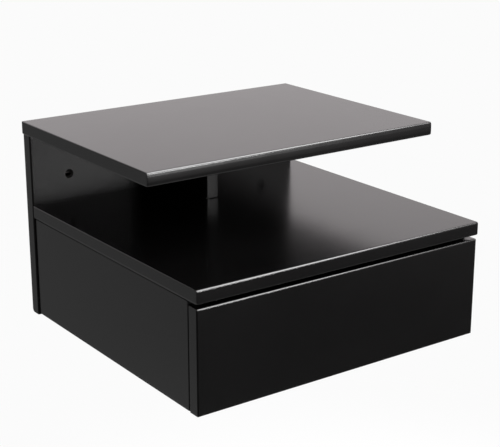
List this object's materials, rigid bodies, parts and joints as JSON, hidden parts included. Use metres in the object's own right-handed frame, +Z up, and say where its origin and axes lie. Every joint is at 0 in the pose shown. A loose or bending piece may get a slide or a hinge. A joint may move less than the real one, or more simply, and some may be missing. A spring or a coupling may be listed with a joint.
{
  "type": "floating nightstand",
  "caption": "Wall-hung bedside shelf in black lacquered board: a raised top on a back panel and divider, over a lower shelf and a handle-less drawer on roller runners.",
  "frame": {"origin": "on the wall face of the back panel, midway between its two wall-screw holes", "axes": "+Z up, +X to the right seen from the room, +Y into the wall, so the drawer opens along -Y"},
  "size_m": [0.4, 0.38, 0.2465],
  "materials": {
    "black_lacquer": "fibreboard with satin black lacquer",
    "drawer_foil": "fibreboard with matt near-black foil",
    "hardboard": "3 mm hardboard, dark lacquered face",
    "runner_steel": "black powder-coated sheet steel",
    "roller_nylon": "off-white moulded nylon",
    "zinc_steel": "bright zinc plated steel",
    "cast_zinc": "die-cast zinc, slightly grainy",
    "beech": "fluted beech dowel, raw"
  },
  "bodies": {
    "housing": {"top_shelf": "black_lacquer", "back_panel": "black_lacquer", "lower_shelf": "black_lacquer", "side_panel_left": "black_lacquer", "side_panel_right": "black_lacquer", "divider": "black_lacquer", "cabinet_runner_left": "runner_steel", "cabinet_runner_right": "runner_steel", "cabinet_roller_pin_left": "zinc_steel", "cabinet_roller_pin_right": "zinc_steel", "shelf_screw_left": "zinc_steel", "shelf_screw_middle": "zinc_steel", "shelf_screw_right": "zinc_steel", "side_screw_left_upper": "zinc_steel", "side_screw_left_lower": "zinc_steel", "side_screw_right_upper": "zinc_steel", "side_screw_right_lower": "zinc_steel", "divider_screw_upper": "zinc_steel", "divider_screw_lower": "zinc_steel", "cabinet_runner_screw_left_front": "zinc_steel", "cabinet_runner_screw_left_rear": "zinc_steel", "cabinet_runner_screw_right_front": "zinc_steel", "cabinet_runner_screw_right_rear": "zinc_steel", "top_cam_left": "cast_zinc", "top_cam_right": "cast_zinc", "side_cam_left": "cast_zinc", "side_cam_right": "cast_zinc", "top_cam_bolt_left": "zinc_steel", "top_cam_bolt_right": "zinc_steel", "side_cam_bolt_left": "zinc_steel", "side_cam_bolt_right": "zinc_steel", "divider_dowel_top": "beech", "divider_dowel_foot": "beech", "side_dowel_left": "beech", "side_dowel_right": "beech"},
    "drawer": {"drawer_front": "black_lacquer", "drawer_side_left": "drawer_foil", "drawer_side_right": "drawer_foil", "drawer_back": "drawer_foil", "drawer_bottom": "hardboard", "drawer_runner_left": "runner_steel", "drawer_runner_right": "runner_steel", "drawer_roller_pin_left": "zinc_steel", "drawer_roller_pin_right": "zinc_steel", "drawer_runner_screw_left_front": "zinc_steel", "drawer_runner_screw_left_rear": "zinc_steel", "drawer_runner_screw_right_front": "zinc_steel", "drawer_runner_screw_right_rear": "zinc_steel", "drawer_back_screw_left_upper": "zinc_steel", "drawer_back_screw_left_lower": "zinc_steel", "drawer_back_screw_right_upper": "zinc_steel", "drawer_back_screw_right_lower": "zinc_steel", "drawer_cam_left": "cast_zinc", "drawer_cam_right": "cast_zinc", "drawer_cam_bolt_left": "zinc_steel", "drawer_cam_bolt_right": "zinc_steel"},
    "cabinet_roller_left": {"cabinet_roller_left": "roller_nylon"},
    "cabinet_roller_right": {"cabinet_roller_right": "roller_nylon"},
    "drawer_roller_left": {"drawer_roller_left": "roller_nylon"},
    "drawer_roller_right": {"drawer_roller_right": "roller_nylon"}
  },
  "joints": [
    {"name": "drawer_slide", "type": "slide", "parent": "housing", "child": "drawer", "axis": [0, -1, 0], "range_m": [0, 0.22]},
    {"name": "cabinet_roller_left_spin", "type": "hinge", "parent": "housing", "child": "cabinet_roller_left", "pos_m": [-0.17485, -0.347, -0.1503], "axis": [1, 0, 0], "range_deg": [0, 1405]},
    {"name": "cabinet_roller_right_spin", "type": "hinge", "parent": "housing", "child": "cabinet_roller_right", "pos_m": [0.17485, -0.347, -0.1503], "axis": [1, 0, 0], "range_deg": [0, 1405]},
    {"name": "drawer_roller_left_spin", "type": "hinge", "parent": "drawer", "child": "drawer_roller_left", "pos_m": [-0.17365, -0.073, -0.152], "axis": [1, 0, 0], "range_deg": [0, 1487]},
    {"name": "drawer_roller_right_spin", "type": "hinge", "parent": "drawer", "child": "drawer_roller_right", "pos_m": [0.17365, -0.073, -0.152], "axis": [1, 0, 0], "range_deg": [0, 1487]}
  ],
  "couplings": [
    {"joint": "cabinet_roller_left_spin", "follows": "drawer_slide", "rad_per_m": 111.11},
    {"joint": "cabinet_roller_right_spin", "follows": "drawer_slide", "rad_per_m": 111.11},
    {"joint": "drawer_roller_left_spin", "follows": "drawer_slide", "rad_per_m": 117.65},
    {"joint": "drawer_roller_right_spin", "follows": "drawer_slide", "rad_per_m": 117.65}
  ]
}
